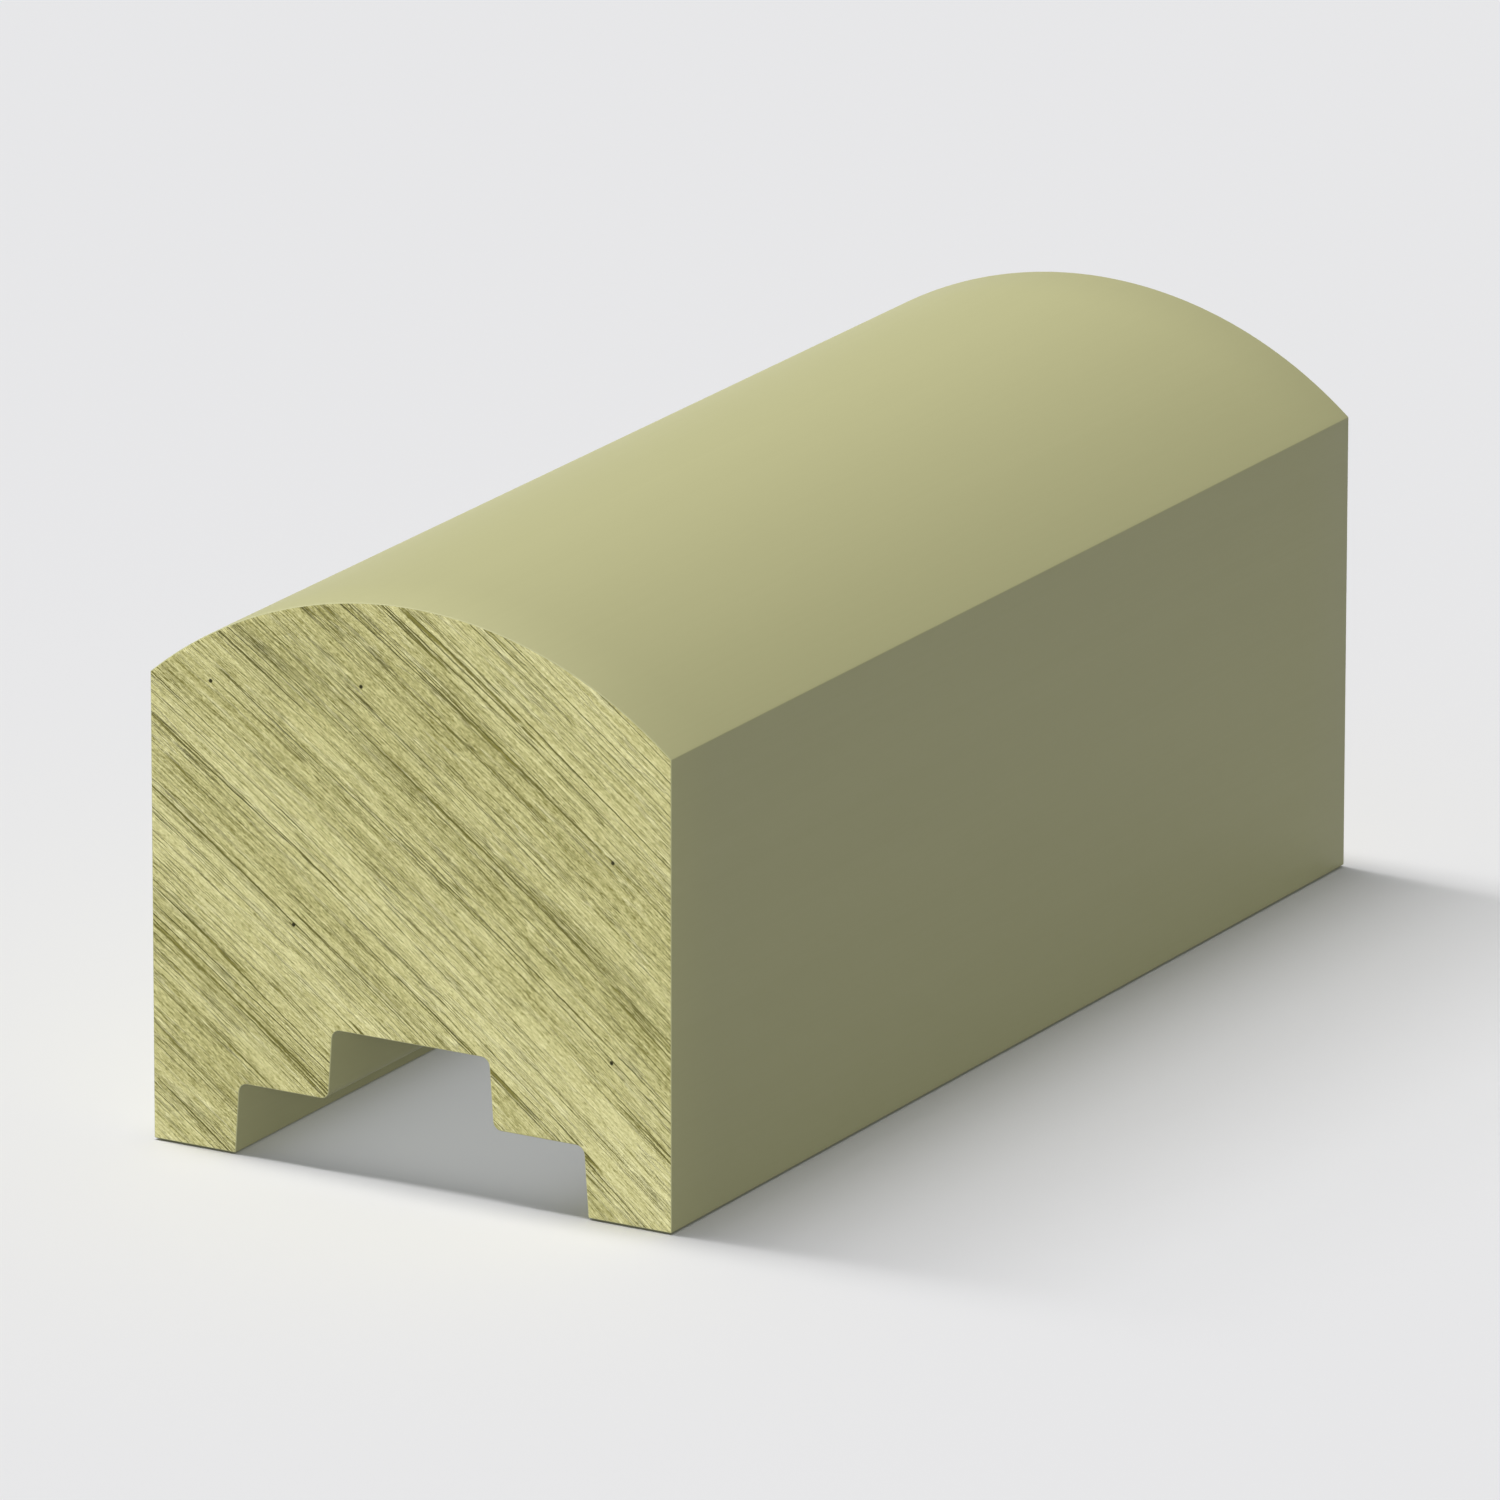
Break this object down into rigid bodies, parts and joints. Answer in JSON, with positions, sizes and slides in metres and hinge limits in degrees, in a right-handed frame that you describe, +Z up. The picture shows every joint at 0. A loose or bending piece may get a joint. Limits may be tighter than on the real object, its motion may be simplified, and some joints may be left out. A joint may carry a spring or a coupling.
{
  "type": "timber handrail",
  "caption": "Straight length of square softwood handrail with a domed top and a stepped channel along its underside that takes square balusters and an infill strip.",
  "frame": {"origin": "on the floor plane that the two feet stand on, under the middle of the rail's width and length", "axes": "+Y along the rail, +Z up through the crown of the dome, +X to the right when looking along +Y"},
  "size_m": [0.065, 0.152, 0.065],
  "materials": {
    "treated_pine": "pressure-treated pine, moulded and planed smooth along its length, sawn across its ends"
  },
  "bodies": {
    "root": {"handrail": "treated_pine"}
  },
  "joints": []
}
